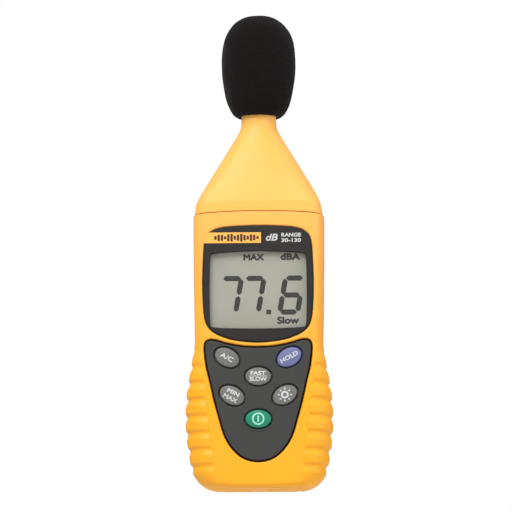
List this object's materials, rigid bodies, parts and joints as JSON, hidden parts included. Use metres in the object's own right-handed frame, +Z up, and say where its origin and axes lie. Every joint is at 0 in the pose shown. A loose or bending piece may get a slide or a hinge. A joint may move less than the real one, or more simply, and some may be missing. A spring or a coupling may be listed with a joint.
{
  "type": "sound level meter",
  "caption": "Handheld sound level meter with foam windscreen, tapered nose, digital display, oval keys, ribbed side grips and sliding battery door.",
  "frame": {"origin": "middle of the base, straight below the axis of the neck and microphone", "axes": "+Z up along the meter from its base to the microphone, -Y out of the display, +X to the right of somebody reading it"},
  "size_m": [0.0744, 0.0376, 0.2412],
  "materials": {
    "yellow_case": "satin",
    "yellow_nose": "satin",
    "foam": "matte",
    "steel": "satin",
    "brass": "satin",
    "black_plastic": "satin",
    "white_plastic": "satin",
    "dark_panel": "satin",
    "keypad_grey": "satin",
    "grey_key": "satin",
    "violet_key": "satin",
    "green_key": "satin",
    "silicone": "matte",
    "lcd": "satin",
    "clear": "gloss",
    "board": "satin",
    "battery": "satin",
    "red_wire": "satin",
    "label": "satin"
  },
  "bodies": {
    "root": {"front_case": "yellow_case", "rear_case": "yellow_case", "nose_cone": "yellow_nose", "mic_grid": "steel", "mic_capsule": "steel", "mic_sleeve": "black_plastic", "mic_board": "board", "mic_cable": "black_plastic", "display_bezel": "dark_panel", "display_lens": "clear", "lcd_frame": "white_plastic", "lcd_glass": "lcd", "lcd_backlight": "white_plastic", "zebra_strip_low": "silicone", "zebra_strip_high": "silicone", "keypad_panel": "keypad_grey", "keypad_mat": "silicone", "main_board": "board", "processor_chip": "black_plastic", "amplifier_chip": "black_plastic", "capacitor": "black_plastic", "output_jack": "black_plastic", "power_jack": "black_plastic", "trimmer_body": "board", "battery": "battery", "battery_snap": "black_plastic", "battery_lead_red": "red_wire", "battery_lead_black": "black_plastic", "tripod_insert": "brass", "rear_label": "label", "case_screw_1": "steel", "case_screw_2": "steel", "case_screw_3": "steel", "case_screw_4": "steel"},
    "windscreen_body": {"windscreen": "foam"},
    "door_body": {"battery_door": "yellow_case"},
    "trimmer_body_moving": {"trimmer_rotor": "brass"},
    "key_ac_body": {"key_ac": "grey_key"},
    "key_hold_body": {"key_hold": "violet_key"},
    "key_fast_slow_body": {"key_fast_slow": "grey_key"},
    "key_min_max_body": {"key_min_max": "grey_key"},
    "key_light_body": {"key_light": "grey_key"},
    "key_power_body": {"key_power": "green_key"}
  },
  "joints": [
    {"name": "windscreen_pull", "type": "slide", "parent": "root", "child": "windscreen_body", "axis": [0, 0, 1], "range_m": [0, 0.04]},
    {"name": "door_slide", "type": "slide", "parent": "root", "child": "door_body", "axis": [0, 0, -1], "range_m": [0, 0.03]},
    {"name": "trimmer_turn", "type": "hinge", "parent": "root", "child": "trimmer_body_moving", "pos_m": [0.0305, 0, 0.086], "axis": [1, 0, 0], "range_deg": [-135, 135]},
    {"name": "key_ac_press", "type": "slide", "parent": "root", "child": "key_ac_body", "axis": [0, 1, 0], "range_m": [0, 0.0008], "stiffness_N_per_m": 400},
    {"name": "key_hold_press", "type": "slide", "parent": "root", "child": "key_hold_body", "axis": [0, 1, 0], "range_m": [0, 0.0008], "stiffness_N_per_m": 400},
    {"name": "key_fast_slow_press", "type": "slide", "parent": "root", "child": "key_fast_slow_body", "axis": [0, 1, 0], "range_m": [0, 0.0008], "stiffness_N_per_m": 400},
    {"name": "key_min_max_press", "type": "slide", "parent": "root", "child": "key_min_max_body", "axis": [0, 1, 0], "range_m": [0, 0.0008], "stiffness_N_per_m": 400},
    {"name": "key_light_press", "type": "slide", "parent": "root", "child": "key_light_body", "axis": [0, 1, 0], "range_m": [0, 0.0008], "stiffness_N_per_m": 400},
    {"name": "key_power_press", "type": "slide", "parent": "root", "child": "key_power_body", "axis": [0, 1, 0], "range_m": [0, 0.0008], "stiffness_N_per_m": 400}
  ]
}
